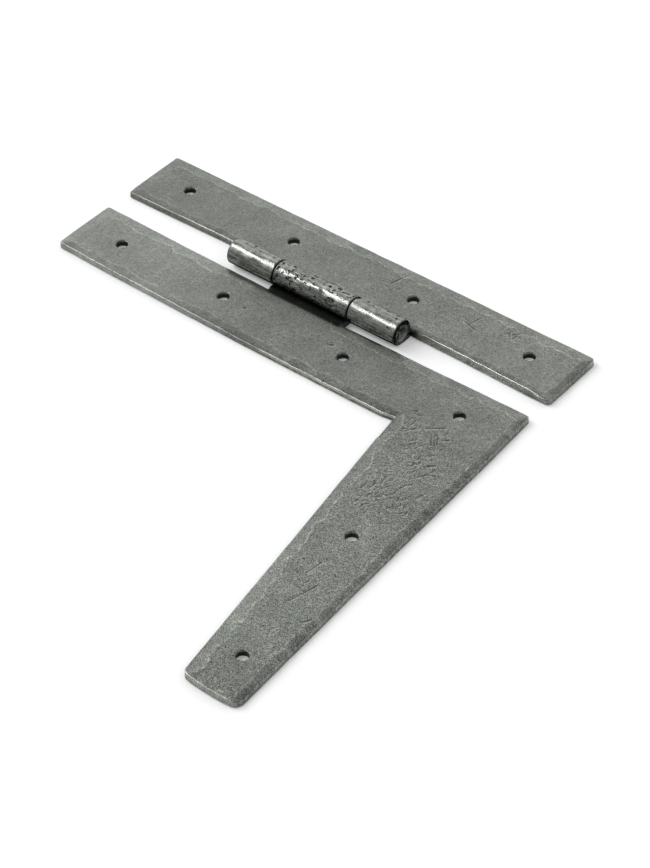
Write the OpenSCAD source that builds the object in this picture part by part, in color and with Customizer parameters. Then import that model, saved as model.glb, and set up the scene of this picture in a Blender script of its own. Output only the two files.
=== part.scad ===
// H-L hinge: a straight H leaf and an L leaf with a splayed arm, turning on one riveted pin.
// The pin runs along X with its axis over the origin, and both leaves lie flat on Z = 0.
// The H leaf is on the +Y side, the L leaf on the -Y side, and the knuckles stand up in +Z.

/* [Leaves] */
// Length of both leaves along the pin
leaf_length = 229; // [190:1:280]
// Width of each leaf across the pin
leaf_width = 32.7; // [26:0.1:40]
// Thickness of the sheet that both leaves are cut from
sheet_thick = 3; // [2.4:0.1:3.6]
// How far the inner edge of the H leaf runs in under the outside of the knuckles
h_tuck = 0.55; // [0.3:0.05:0.8]
// Gap between the outside of the outer knuckles and the inner edge of the L leaf
l_gap = 2.15; // [1:0.05:5]
// How far the far ends of the leaves bow outwards in the middle
end_bow = 0.4; // [0.1:0.1:1.5]
// Radius of the worn corners at the far ends
corner_r = 3; // [1:0.5:5]

/* [Arm] */
// How far the arm reaches from the outer edge of the L leaf, square to the pin
arm_reach = 154.2; // [110:0.2:190]
// Width of the arm along the pin where it leaves the L leaf
arm_root_w = 45.2; // [36:0.2:56]
// Width of the arm along the pin at its tip
arm_tip_w = 26.6; // [20:0.2:34]
// Angle by which the middle of the arm leans outwards from square
arm_splay = 5.6; // [0:0.1:9]
// Radius of the two corners at the tip
tip_r = 2.2; // [1:0.1:5]
// How far the tip bows outwards in the middle
tip_bow = 1.2; // [0.1:0.1:2.5]

/* [Hammered edges] */
// Width of the bevel beaten along the top edges
bevel_w = 2.8; // [1:0.1:3.5]
// Depth of that bevel at the edge
bevel_d = 0.7; // [0.2:0.1:1]

/* [Knuckles] */
// Outer diameter of the rolled knuckles
knuckle_d = 11.7; // [9.6:0.1:14.4]
// Length of each outer knuckle, which belong to the H leaf
outer_knuckle = 24.6; // [16:0.2:32]
// Length of the centre knuckle, which belongs to the L leaf
centre_knuckle = 39.8; // [30:0.2:50]
// End gap between the centre knuckle and each outer knuckle
knuckle_gap = 0.5; // [0.3:0.1:1]
// Distance that the row of knuckles sits off the middle of the leaves
knuckle_shift = -2.4; // [-10:0.2:10]
// Width of the seam where a rolled end comes back to its leaf
seam_w = 0.35; // [0.2:0.05:0.6]
// Clearance between the centre knuckle and the relief cut in the H leaf
relief_gap = 0.5; // [0.4:0.1:1]
// Rounding of the outer rim at each end of a knuckle
knuckle_break = 0.3; // [0.1:0.1:0.6]

/* [Pin] */
// Diameter of the pin
pin_d = 5.6; // [4.4:0.1:6.8]
// Radial clearance of the pin in the two outer knuckles, where it is driven in
drive_fit = 0.01; // [0.01:0.01:0.03]
// Radial clearance of the pin in the centre knuckle, which turns on it
running_fit = 0.05; // [0.02:0.01:0.1]
// How far the rim of each riveted head stays inside the outside of the knuckles
head_inset = 0.95; // [0.5:0.05:1.2]
// Height of the riveted heads
head_h = 0.8; // [0.5:0.1:1.5]

/* [Screw holes] */
// Diameter of every screw hole
hole_d = 5.2; // [4:0.1:6]
// Width of the worn rim around each hole
rim_w = 0.35; // [0.1:0.05:0.6]
// Distance from each end of the H leaf to its outer holes, before the shift
h_end_inset = 22.3; // [12:0.1:28]
// Distance from each end of the L leaf to its outer holes, before the shift
l_end_inset = 23.5; // [12:0.1:28]
// Spacing of the inner pair of holes in each leaf
inner_pair = 65; // [50:0.5:100]
// Distance that every pair sits off the middle of the leaves
hole_shift = -1.3; // [-6:0.1:6]
// Distance from the inner edge of the H leaf to its row of holes
h_row_inset = 17.3; // [10:0.1:20]
// Distance from the inner edge of the L leaf to its row of holes
l_row_inset = 15.8; // [10:0.1:20]
// Distance from the outer edge of the L leaf to the first hole in the arm
arm_hole_from_root = 62.4; // [40:0.2:80]
// Distance from the corners of the tip to the second hole in the arm
arm_hole_from_tip = 19.6; // [12:0.2:26]

/* [Hidden] */
$fn = 64;
arc_steps = 6;
bow_steps = 6;
over = 1;
steel = [0.49, 0.50, 0.475];
worn_steel = [0.56, 0.57, 0.55];

half_l = leaf_length / 2;
knuckle_r = knuckle_d / 2;
pin_z = knuckle_r;
h_edge = knuckle_r - h_tuck;
l_edge = knuckle_r + l_gap;
head_r = knuckle_r - head_inset;
barrel_len = 2 * outer_knuckle + centre_knuckle + 2 * knuckle_gap;
barrel_x0 = knuckle_shift - barrel_len / 2;
centre_x0 = barrel_x0 + outer_knuckle + knuckle_gap;
last_x0 = centre_x0 + centre_knuckle + knuckle_gap;

// The arm's middle line starts on the outer edge of the L leaf and leans towards +X.
// Its right edge runs straight on to the inner edge of the leaf, at the leaf's full length.
l_outer = -l_edge - leaf_width;
arm_lean = tan(arm_splay);
right_lean = arm_lean - (arm_root_w - arm_tip_w) / 2 / arm_reach;
arm_root = [half_l + leaf_width * right_lean - arm_root_w / 2, l_outer];
arm_tip = arm_root + arm_reach * [arm_lean, -1];
tip_right = arm_tip + [arm_tip_w / 2, 0];
tip_left = arm_tip - [arm_tip_w / 2, 0];
tip_flat = 1.5 * tip_r;
notch = arm_root - [arm_root_w / 2, 0];

h_holes = [for (x = hole_row_x(h_end_inset)) [x, h_edge + h_row_inset]];
l_holes = [for (x = hole_row_x(l_end_inset)) [x, -l_edge - l_row_inset]];
arm_holes = [for (d = [arm_hole_from_root, arm_reach - arm_hole_from_tip]) arm_root + d * [arm_lean, -1]];

function hole_row_x(end_inset) =
    let (outer = half_l - end_inset, inner = inner_pair / 2)
    [for (x = [-outer, -inner, inner, outer]) hole_shift + x];

function unit(v) = v / norm(v);

// Points of a short edge from a towards b that bows to the right of that way, without b itself
function bowed(a, b, bow) =
    let (side = unit([b.y - a.y, a.x - b.x]))
    [for (i = [0 : bow_steps - 1]) let (t = i / bow_steps) a + (b - a) * t + side * bow * 4 * t * (1 - t)];

// Points of a round corner at b between the edges that come from a and go on to c
function round_corner(a, b, c, r) =
    let (
        u = unit(a - b),
        v = unit(c - b),
        half = acos(u * v) / 2,
        middle = b + unit(u + v) * r / sin(half),
        from = b + u * r / tan(half) - middle,
        start = atan2(from.y, from.x),
        sweep = 180 - 2 * half
    )
    [for (i = [0 : arc_steps]) let (w = start + sweep * i / arc_steps) middle + r * [cos(w), sin(w)]];

// Outlines run counter-clockwise, so the metal is on the left of each edge
function h_outline() =
    let (
        inner_left = [-half_l, h_edge],
        inner_right = [half_l, h_edge],
        outer_right = [half_l, h_edge + leaf_width],
        outer_left = [-half_l, h_edge + leaf_width]
    )
    concat(
        round_corner(outer_left, inner_left, inner_right, corner_r),
        [inner_right],
        [outer_right],
        bowed(outer_left, [-half_l, h_edge + corner_r], end_bow)
    );

function l_outline() =
    let (
        inner_left = [-half_l, -l_edge],
        inner_right = [half_l, -l_edge],
        outer_left = [-half_l, l_outer]
    )
    concat(
        round_corner(inner_left, outer_left, notch, corner_r),
        [notch],
        round_corner(notch, tip_left, tip_right, tip_r),
        bowed(tip_left + [tip_flat, 0], tip_right - [tip_flat, 0], tip_bow),
        round_corner(tip_left, tip_right, inner_right, tip_r),
        [inner_right],
        bowed(inner_left, [-half_l, l_outer + corner_r], end_bow)
    );

// Wedge that beats down the top edge from p to q, running past each end by the given amounts
module edge_bevel(p, q, past_p, past_q) {
    run = q - p;
    slope = bevel_d / bevel_w;
    translate([p.x, p.y, sheet_thick])
        rotate([0, 0, atan2(run.y, run.x)])
            translate([-past_p, 0, 0])
                rotate([90, 0, 90])
                    linear_extrude(norm(run) + past_p + past_q)
                        polygon([
                            [bevel_w, 0],
                            [bevel_w, over],
                            [-over, over],
                            [-over, -slope * (bevel_w + over)]
                        ]);
}

// Straight hole with a worn rim on the top face
module screw_holes(places) {
    for (p = places) {
        translate([p.x, p.y, -over])
            cylinder(d = hole_d, h = sheet_thick + 2 * over);
        translate([p.x, p.y, sheet_thick - rim_w])
            cylinder(d1 = hole_d, d2 = hole_d + 2 * rim_w + 2 * over, h = rim_w + over);
    }
}

module round_bar(d, x0, length) {
    translate([x0, 0, pin_z])
        rotate([0, 90, 0])
            cylinder(d = d, h = length);
}

// Outside of one knuckle, with its two rims broken
module knuckle_body(x0, length) {
    translate([x0, 0, pin_z])
        rotate([0, 90, 0])
            rotate_extrude()
                polygon([
                    [0, 0],
                    [knuckle_r - knuckle_break, 0],
                    [knuckle_r, knuckle_break],
                    [knuckle_r, length - knuckle_break],
                    [knuckle_r - knuckle_break, length],
                    [0, length]
                ]);
}

// One knuckle rolled from a strip of the leaf: side is +1 where the leaf lies on +Y, else -1
module rolled_knuckle(x0, length, side, edge, fit) {
    reach = edge + bevel_w + over;
    difference() {
        union() {
            knuckle_body(x0, length);
            translate([x0, side > 0 ? 0 : -reach, 0])
                cube([length, reach, sheet_thick]);
        }
        round_bar(pin_d + 2 * fit, x0 - over, length + 2 * over);
        translate([x0 - over, side > 0 ? 0 : -knuckle_d, sheet_thick])
            cube([length + 2 * over, knuckle_d, seam_w]);
    }
}

module h_leaf() {
    inner_left = [-half_l, h_edge];
    inner_right = [half_l, h_edge];
    outer_right = [half_l, h_edge + leaf_width];
    outer_left = [-half_l, h_edge + leaf_width];
    relief_x0 = centre_x0 - knuckle_gap;
    relief_y = knuckle_r + relief_gap;
    color(steel)
        union() {
            difference() {
                linear_extrude(sheet_thick)
                    polygon(h_outline());
                edge_bevel(inner_left, inner_right, over, over);
                edge_bevel(inner_right, outer_right, over, over);
                edge_bevel(outer_right, outer_left, over, over);
                screw_holes(h_holes);
                translate([relief_x0, 0, -over])
                    cube([centre_knuckle + 2 * knuckle_gap, relief_y, sheet_thick + 2 * over]);
            }
            rolled_knuckle(barrel_x0, outer_knuckle, 1, h_edge, drive_fit);
            rolled_knuckle(last_x0, outer_knuckle, 1, h_edge, drive_fit);
        }
}

module l_leaf() {
    inner_left = [-half_l, -l_edge];
    inner_right = [half_l, -l_edge];
    color(steel)
        union() {
            difference() {
                linear_extrude(sheet_thick)
                    polygon(l_outline());
                edge_bevel([-half_l, l_outer], notch, over, 0);
                edge_bevel(notch, tip_left, 0, over);
                edge_bevel(tip_right, inner_right, over, over);
                edge_bevel(inner_right, inner_left, over, over);
                screw_holes(concat(l_holes, arm_holes));
            }
            rolled_knuckle(centre_x0, centre_knuckle, -1, l_edge, running_fit);
        }
}

// Plain rod with both ends riveted over against the outer knuckles
module hinge_pin() {
    shoulder = head_h / 2;
    color(worn_steel)
        translate([barrel_x0, 0, pin_z])
            rotate([0, 90, 0])
                rotate_extrude()
                    polygon([
                        [0, -head_h],
                        [head_r - shoulder, -head_h],
                        [head_r, -shoulder],
                        [head_r, 0],
                        [pin_d / 2, 0],
                        [pin_d / 2, barrel_len],
                        [head_r, barrel_len],
                        [head_r, barrel_len + shoulder],
                        [head_r - shoulder, barrel_len + head_h],
                        [0, barrel_len + head_h]
                    ]);
}

h_leaf();
l_leaf();
hinge_pin();
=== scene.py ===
import math
import random

import bmesh
import bpy
from mathutils import Matrix, Vector, kdtree, noise


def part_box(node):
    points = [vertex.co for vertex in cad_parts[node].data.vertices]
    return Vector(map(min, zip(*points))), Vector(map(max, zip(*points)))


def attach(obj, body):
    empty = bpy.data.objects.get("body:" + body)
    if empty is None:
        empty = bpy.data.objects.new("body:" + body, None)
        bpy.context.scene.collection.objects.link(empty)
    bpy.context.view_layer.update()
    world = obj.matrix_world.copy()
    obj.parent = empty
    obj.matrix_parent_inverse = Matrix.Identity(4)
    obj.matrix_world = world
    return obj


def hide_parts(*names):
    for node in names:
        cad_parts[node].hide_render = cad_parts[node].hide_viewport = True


bl_info = {
    "name": "Forged H-L hinge",
    "version": (1, 0, 0),
    "blender": (4, 5, 0),
    "location": "3D View > Sidebar > Hinge",
    "description": "Makes the leaves, the rolled knuckles and the riveted pin of a forged H-L hinge",
    "category": "Add Mesh",
}

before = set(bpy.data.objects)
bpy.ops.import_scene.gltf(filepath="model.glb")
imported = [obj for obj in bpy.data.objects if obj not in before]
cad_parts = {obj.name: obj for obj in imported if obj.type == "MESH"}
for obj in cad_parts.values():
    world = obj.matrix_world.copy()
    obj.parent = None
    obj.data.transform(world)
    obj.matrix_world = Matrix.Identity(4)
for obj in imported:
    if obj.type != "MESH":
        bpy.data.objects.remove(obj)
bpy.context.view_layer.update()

MM = 0.001

# The frame's own places, in millimetres. The pin lies along X, at height PIN_Z.
PIN_Z = 5.85
KNUCKLE_R = 5.85
BORE_R = 2.85
H_KNUCKLES = ((-47.4, -22.8), (18.0, 42.6))
L_KNUCKLES = ((-22.3, 17.5),)
SEAM_Z = 3.35

# Plan of the two leaves. An edge that wanders is given as (x, y) pairs.
LEAF_LEFT = -114.7
LEAF_RIGHT = 113.4
END_BOW = 0.1
H_NEAR = ((-114.3, 5.6), (-50.0, 6.6), (0.0, 6.6), (50.0, 5.9), (114.2, 4.9))
H_FAR = 37.9
L_NEAR = ((-114.3, -7.4), (-50.0, -8.3), (0.0, -8.6), (50.0, -7.7), (114.2, -6.7))
L_FAR = (
    (-114.3, -39.3), (-80.0, -40.1), (-40.0, -40.5), (-5.0, -41.0),
    (40.0, -40.8), (62.0, -40.5), (69.5, -39.6),
)
ARM_ROOT_Y = -39.6
NOTCH_X = 69.5
L_RIGHT_NEAR = 112.9
ARM_RIGHT_ROOT = 114.5
ARM_TIP_LEFT = 94.1
ARM_TIP_RIGHT = 120.7
ARM_TIP_Y = -194.85
TIP_BOW = 0.9
H_HOLES = ((-93.5, 22.6), (-34.0, 22.6), (31.0, 22.6), (90.9, 22.6))
L_HOLES = ((-91.8, -23.7), (-33.8, -23.9), (30.7, -23.9), (90.3, -23.7))
ARM_HOLES = ((99.1, -103.1), (106.3, -175.3))

# Each leaf starts as a square grid. These are its depth, and its corners: place, then radii whose signs point
# into the grid.
H_GRID_DEPTH = H_FAR - 5.0
L_GRID_DEPTH = 32.7
H_CORNERS = (
    ((LEAF_LEFT, 0.0), (1.6, 1.6)),
    ((LEAF_LEFT, H_GRID_DEPTH), (1.0, -1.0)),
    ((LEAF_RIGHT, 0.0), (-2.4, 2.4)),
    ((LEAF_RIGHT, H_GRID_DEPTH), (-2.4, -2.4)),
)
L_CORNERS = (
    ((LEAF_LEFT, 0.0), (1.0, -1.0)),
    ((LEAF_LEFT, -L_GRID_DEPTH), (1.9, 1.7)),
    ((L_RIGHT_NEAR, 0.0), (-1.6, -1.6)),
)
ARM_CORNERS = (
    ((NOTCH_X, ARM_TIP_Y), (2.8, 2.8)),
    ((L_RIGHT_NEAR, ARM_TIP_Y), (-3.6, 3.6)),
)

# Distances from an outline at which the mesh has a row, so that bevels keep their shape.
EDGE_ROWS = (0.0, 0.12, 0.3, 0.6, 1.0, 1.5, 2.1, 2.8, 3.5, 4.2, 4.9, 5.6)
# Heights of the rows down a wall, as shares of the sheet.
WALL_LEVELS = (0.86, 0.66, 0.4, 0.16, 0.05)
# A screw hole: half side of the square that is cut for it, radii of the rings that fill it, and the rounding
# of its rim.
HOLE_SQUARE = 4.3
HOLE_RINGS = (3.7, 3.35, 3.15, 3.0, 2.86, 2.72, 2.65, 2.6)
HOLE_ROUND = 0.55
BLOW_SPACING = 5.2
# Rows of a rolled knuckle: along its strap, round the pin, and on to the seam. The sweep is in degrees.
STRAP_ROWS = 7
ROLL_STEPS = 56
CLOSING_ROWS = 4
ROLL_SWEEP = 290.0
KNUCKLE_BEVEL = 0.35
MERGE_DISTANCE = 0.001
SHARP_ANGLE = math.radians(48)

# The pin: radius inside the knuckles, and how far in from its ends each part of a head lies.
PIN_R = 2.8
HEAD_RINGS = 9
HEAD_FACE = 0.04
HEAD_DOME = 0.42
HEAD_RIM = 0.62
HEAD_BACK = 0.8
HEAD_CHAMFER = 0.1
HEAD_BEATEN = 0.11
HEAD_RAGGED = 0.05
PIN_STEPS = 64

# Chisel and hammer strokes: start, end, half width, depth.
ARM_STROKES = (
    ((84.6, -37.6), (90.2, -32.8), 0.30, 0.16),
    ((87.4, -38.5), (91.8, -44.3), 0.30, 0.16),
    ((88.2, -37.1), (93.2, -44.0), 0.26, 0.15),
    ((90.3, -38.0), (93.5, -42.8), 0.26, 0.16),
    ((91.9, -36.9), (93.0, -34.6), 0.28, 0.15),
    ((93.3, -39.4), (95.3, -38.4), 0.26, 0.14),
    ((94.0, -38.7), (95.6, -37.6), 0.34, 0.15),
    ((83.9, -51.0), (86.3, -46.6), 0.32, 0.16),
    ((84.9, -50.9), (86.9, -47.6), 0.26, 0.12),
    ((91.4, -59.9), (93.6, -56.2), 0.28, 0.14),
    ((96.8, -55.9), (100.4, -52.6), 0.34, 0.16),
    ((97.4, -54.6), (99.5, -54.9), 0.26, 0.12),
    ((98.6, -62.2), (101.0, -58.4), 0.32, 0.16),
    ((101.0, -58.4), (103.9, -57.4), 0.30, 0.16),
    ((103.9, -57.4), (105.0, -58.9), 0.30, 0.14),
    ((73.6, -32.6), (75.2, -31.6), 0.36, 0.15),
    ((74.2, -33.6), (75.6, -33.0), 0.30, 0.12),
    ((102.0, -143.6), (105.4, -131.2), 0.34, 0.14),
    ((98.0, -128.4), (98.9, -121.2), 0.28, 0.12),
    ((100.4, -133.2), (101.4, -131.6), 0.42, 0.13),
    ((90.2, -134.2), (91.3, -133.0), 0.36, 0.12),
    ((112.6, -149.6), (114.8, -146.2), 0.38, 0.15),
)
L_STROKES = (
    ((20.8, -21.6), (22.6, -20.4), 0.55, 0.15),
    ((20.9, -19.6), (21.9, -19.2), 0.35, 0.10),
    ((-22.2, -24.8), (-21.4, -24.1), 0.45, 0.13),
    ((76.6, -33.9), (78.1, -32.3), 0.40, 0.10),
)
H_STROKES = (
    ((19.6, 34.4), (16.9, 25.5), 0.30, 0.16),
    ((16.9, 25.5), (12.4, 24.3), 0.24, 0.09),
    ((12.4, 24.3), (7.4, 21.2), 0.20, 0.07),
    ((21.0, 23.9), (22.0, 24.7), 0.42, 0.12),
    ((56.2, 24.4), (63.4, 22.6), 0.30, 0.14),
    ((58.6, 21.2), (60.4, 29.4), 0.26, 0.13),
    ((54.2, 26.2), (57.6, 25.4), 0.24, 0.09),
    ((61.4, 21.8), (63.0, 20.6), 0.30, 0.11),
)
# Heaps of short strokes: centre, spread across and along, how many.
ARM_HEAPS = (
    ((95.5, -79.0), (6.5, 7.5), 105),
    ((90.5, -51.5), (3.6, 5.5), 60),
    ((78.5, -44.5), (2.6, 3.6), 22),
)
H_HEAPS = (((75.0, 28.0), (2.2, 1.5), 26),)
DEEPEST = 0.16
# The side of a stroke on which a painted highlight stands for a raised lip, as a direction in plan.
NEAR_SIDE = (0.65, -0.76)
# A chip in the rim of the right knuckle, behind its crown: place along the pin and angle above the leaf.
CHIP_X = 18.3
CHIP_ANGLE = 62.0

# Boxes of the top faces whose mesh is made finer for those strokes: low x, low y, high x, high y.
ARM_FINE = (
    (82.0, -65.0, 106.5, -31.0), (84.0, -97.0, 110.0, -65.0), (73.0, -55.0, 82.0, -31.0),
    (97.0, -145.0, 106.5, -120.0), (111.5, -151.0, 116.0, -145.0),
)
L_FINE = ((19.0, -23.0, 24.5, -18.0), (-23.5, -26.0, -20.0, -23.0))
H_FINE = (
    (6.0, 20.0, 20.5, 35.5), (20.0, 22.5, 23.5, 26.0), (53.0, 19.5, 64.5, 30.5), (69.5, 23.5, 81.0, 32.5),
)

# Layers that shape the mesh, and layers that its materials read.
HELPER_LAYERS = ("edge_gap", "hole_gap", "knuckle", "out_x", "out_y")
COLOR_LAYERS = ("worn", "shade", "band", "bevel_shade", "tone", "coarse", "dug", "lip_highlight")

# Colours shared by no setting: the steel inside pits, under the pin's beaten spots, and the black at the
# knuckles' ends and bore, which is fire scale with painted shade.
KNUCKLE_PIT = (0.014, 0.016, 0.014)
PIN_BLACK = (0.016, 0.018, 0.016)
SCALE_AND_SHADE_BLACK = (0.010, 0.011, 0.010)

# The stage, in metres: the floor lies just under the hinge, and the lamps hang round the camera's aim.
FLOOR_HALF = 3.0
FLOOR_Z = -0.0002
FLOOR_GLOW = 0.14
LAMP_DISTANCE = 2.2
STRIP_SIZE = (1.6, 0.16)
STRIP_DIRECTION = (-0.48, -0.34, 0.81)
SIDE_SIZE = (1.0, 1.0)
SIDE_DIRECTION = (-0.80, -0.12, 0.55)
SENSOR_WIDTH = 36.0
FAR_CLIP = 20.0


def mm(length):
    """A length property, which is in metres, as millimetres."""
    return length / MM


class HingeSizes(bpy.types.PropertyGroup):
    """Sizes that a smith would change."""

    sheet: bpy.props.FloatProperty(
        name="Sheet", description="Thickness of the sheet", default=0.003, unit="LENGTH", precision=4
    )
    mesh_step: bpy.props.FloatProperty(
        name="Mesh step", description="Longest side of a mesh face", default=0.0009,
        unit="LENGTH", precision=4,
    )
    bevel: bpy.props.FloatProperty(
        name="Bevel", description="Strength of the hammered bevels", default=1.0, min=0.0, max=1.3
    )
    edge_round: bpy.props.FloatProperty(
        name="Edge rounding", description="Radius of the worn edges", default=0.0004,
        unit="LENGTH", precision=5,
    )
    edge_wander: bpy.props.FloatProperty(
        name="Edge wander", description="How far the outlines wander", default=0.0002,
        unit="LENGTH", precision=5,
    )
    dent_depth: bpy.props.FloatProperty(
        name="Dent depth", description="Depth of the broad hammer dents", default=0.00006,
        unit="LENGTH", precision=5,
    )
    knuckle_dent: bpy.props.FloatProperty(
        name="Knuckle dents", description="Depth of the dents on the knuckles", default=0.0001,
        unit="LENGTH", precision=5,
    )
    head_radius: bpy.props.FloatProperty(
        name="Pin head radius", description="Radius of the hammered pin heads", default=0.0041,
        unit="LENGTH", precision=4,
    )


class HingeFinish(bpy.types.PropertyGroup):
    """Colours and gloss of the steel."""

    patina_light: bpy.props.FloatVectorProperty(
        name="Light patina", description="Paler clouds of the patina", subtype="COLOR", size=3,
        default=(0.290, 0.305, 0.278), min=0.0, max=1.0,
    )
    patina_dark: bpy.props.FloatVectorProperty(
        name="Dark patina", description="Darker clouds of the patina", subtype="COLOR", size=3,
        default=(0.205, 0.218, 0.197), min=0.0, max=1.0,
    )
    # Also the colour toward which painted shade is blended.
    pit_and_shade: bpy.props.FloatVectorProperty(
        name="Pits", description="Blackened pits and marks", subtype="COLOR", size=3,
        default=(0.055, 0.062, 0.056), min=0.0, max=1.0,
    )
    # Rubbed steel of the edges, which also paints the edges' highlight.
    burnish_glint: bpy.props.FloatVectorProperty(
        name="Burnished", description="Bright steel on worn edges", subtype="COLOR", size=3,
        default=(0.60, 0.61, 0.58), min=0.0, max=1.0,
    )
    knuckle_light: bpy.props.FloatVectorProperty(
        name="Knuckle steel", description="Polished steel of the knuckles", subtype="COLOR", size=3,
        default=(0.42, 0.435, 0.405), min=0.0, max=1.0,
    )
    knuckle_dark: bpy.props.FloatVectorProperty(
        name="Knuckle patina", description="Dark patina left on the knuckles", subtype="COLOR", size=3,
        default=(0.13, 0.14, 0.125), min=0.0, max=1.0,
    )
    roughness: bpy.props.FloatProperty(
        name="Roughness", description="Roughness of the flat faces", default=0.31, min=0.0, max=1.0
    )
    knuckle_roughness: bpy.props.FloatProperty(
        name="Knuckle roughness", description="Roughness of the knuckles", default=0.22, min=0.0, max=1.0
    )


class HingeStage(bpy.types.PropertyGroup):
    """The camera, the floor and the lamps."""

    azimuth: bpy.props.FloatProperty(
        name="Azimuth", description="Camera turned about the vertical", subtype="ANGLE",
        default=math.radians(40.67),
    )
    elevation: bpy.props.FloatProperty(
        name="Elevation", description="Camera height angle", subtype="ANGLE", default=math.radians(42.26)
    )
    roll: bpy.props.FloatProperty(
        name="Roll", description="Camera roll", subtype="ANGLE", default=math.radians(-2.09)
    )
    distance: bpy.props.FloatProperty(
        name="Distance", description="Camera to aim point", default=1.0615, unit="LENGTH"
    )
    aim: bpy.props.FloatVectorProperty(
        name="Aim", description="Point on the floor in the middle of the picture", subtype="XYZ", size=3,
        default=(0.05242, -0.06205, 0.0), unit="LENGTH",
    )
    lens: bpy.props.FloatProperty(name="Lens", description="Focal length in mm", default=110.81)
    sky: bpy.props.FloatProperty(name="Sky", description="Strength of the studio light", default=1.0)
    key: bpy.props.FloatProperty(name="Key lamp", description="Power of the strip lamp", default=10.0)
    side: bpy.props.FloatProperty(name="Side lamp", description="Power of the lamp at the left", default=12.0)
    floor_color: bpy.props.FloatVectorProperty(
        name="Floor", description="Colour of the paper floor", subtype="COLOR", size=3,
        default=(0.97, 0.97, 0.97), min=0.0, max=1.0,
    )


# Shared mesh helpers


def places(stops, step):
    """Positions that pass through every stop and are never further apart than step."""
    found = [stops[0]]
    for start, end in zip(stops, stops[1:]):
        count = max(1, math.ceil((end - start) / step - 1e-6))
        for n in range(1, count + 1):
            found.append(start + (end - start) * n / count)
    return found


def edge_stops(low, high, middle=()):
    """Stops with close rows at both ends, through the given places in the middle."""
    near = [low + row for row in EDGE_ROWS]
    far = [high - row for row in reversed(EDGE_ROWS)]
    return near + list(middle) + far


def along(line, x):
    """The measured edge's y at x, eased between its points."""
    if x <= line[0][0]:
        return line[0][1]
    for (x0, y0), (x1, y1) in zip(line, line[1:]):
        if x <= x1:
            part = (x - x0) / (x1 - x0)
            part = part * part * (3 - 2 * part)
            return y0 + (y1 - y0) * part
    return line[-1][1]


def smooth(low, high, value):
    """0 at low, 1 at high, eased between them."""
    part = max(0.0, min(1.0, (value - low) / (high - low)))
    return part * part * (3 - 2 * part)


def wave(x, y, size, seed):
    """Even noise between -1 and 1 whose bumps are about size across."""
    return noise.noise(Vector((x / size, y / size, seed)))


def plan_grid(bm, xs, ys):
    """A flat grid whose columns and rows lie at xs and ys."""
    made = bmesh.ops.create_grid(bm, x_segments=len(xs) - 1, y_segments=len(ys) - 1, size=1.0)
    for v in made["verts"]:
        column = round((v.co.x + 1) / 2 * (len(xs) - 1))
        row = round((v.co.y + 1) / 2 * (len(ys) - 1))
        v.co = (xs[column], ys[row], 0.0)
    return made["verts"]


def round_corner(verts, corner, radii):
    """Draws the square corner of a grid in to a round one. The signs of radii point into the grid."""
    for v in verts:
        a = (v.co.x - corner[0]) / radii[0]
        b = (v.co.y - corner[1]) / radii[1]
        if -1e-3 <= a < 1 and -1e-3 <= b < 1:
            u = min(1.0, 1 - a)
            w = min(1.0, 1 - b)
            v.co.x = corner[0] + radii[0] * (1 - u * math.sqrt(1 - w * w / 2))
            v.co.y = corner[1] + radii[1] * (1 - w * math.sqrt(1 - u * u / 2))


def new_ring(made):
    """The new outer edges of an extrusion of edges."""
    fresh = {g for g in made["geom"] if isinstance(g, bmesh.types.BMVert)}
    return [
        e
        for e in made["geom"]
        if isinstance(e, bmesh.types.BMEdge) and e.verts[0] in fresh and e.verts[1] in fresh
    ]


def ring_verts(edges):
    """The vertices of a ring of edges, each once."""
    return list({v: None for e in edges for v in e.verts})


def open_hole(bm, centre):
    """Opens a round hole with close rings in a flat grid."""
    cx, cy = centre

    def inside(point, reach):
        return abs(point.x - cx) < reach and abs(point.y - cy) < reach

    doomed = [f for f in bm.faces if inside(f.calc_center_median(), HOLE_SQUARE)]
    bmesh.ops.delete(bm, geom=doomed, context="FACES")
    border = [
        e
        for e in bm.edges
        if len(e.link_faces) == 1 and all(inside(v.co, HOLE_SQUARE + 1) for v in e.verts)
    ]
    ring = border
    for radius in HOLE_RINGS:
        made = bmesh.ops.extrude_edge_only(bm, edges=ring)
        ring = new_ring(made)
        for v in ring_verts(ring):
            away = Vector((v.co.x - cx, v.co.y - cy)).normalized() * radius
            v.co.x = cx + away.x
            v.co.y = cy + away.y


def edge_character(out, x, y):
    """Depth and width of the hammered bevel on an edge that faces out."""
    if out.x > 0.7:
        return 0.80, 4.3
    if out.y > 0.7:
        return 0.16, 5.4
    if out.x < -0.7:
        return (0.20, 5.0) if x < -100 else (0.34, 5.4)
    if y > 0:
        return 0.50, 4.6
    if y < -150:
        return 0.20, 2.0
    return 0.22 + 0.60 * smooth(-90, 10, x), 4.8


def lay_blows(rim):
    """Hammer blows along the outline: place, inward direction, depth, width, curve and tone."""
    dice = random.Random(5)
    order = rim[:]
    dice.shuffle(order)
    blows = []
    for e in order:
        middle = (e.verts[0].co + e.verts[1].co) / 2
        if any((middle - blow[0]).length < BLOW_SPACING for blow in blows):
            continue
        inward = inward_of(e)
        depth, width = edge_character(-inward, middle.x, middle.y)
        inward.rotate(Matrix.Rotation(dice.gauss(0, 0.1), 3, "Z"))
        depth *= dice.uniform(0.8, 1.2)
        width *= dice.uniform(0.8, 1.15)
        blows.append((middle, inward, depth, width, dice.uniform(0.006, 0.018), dice.uniform(-1, 1)))
    return blows


def inward_of(e):
    """The direction from an outline edge into its face."""
    start, end = (v.co for v in e.verts)
    line = (end - start).normalized()
    inward = e.link_faces[0].calc_center_median() - start
    return (inward - line * inward.dot(line)).normalized()


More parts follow.
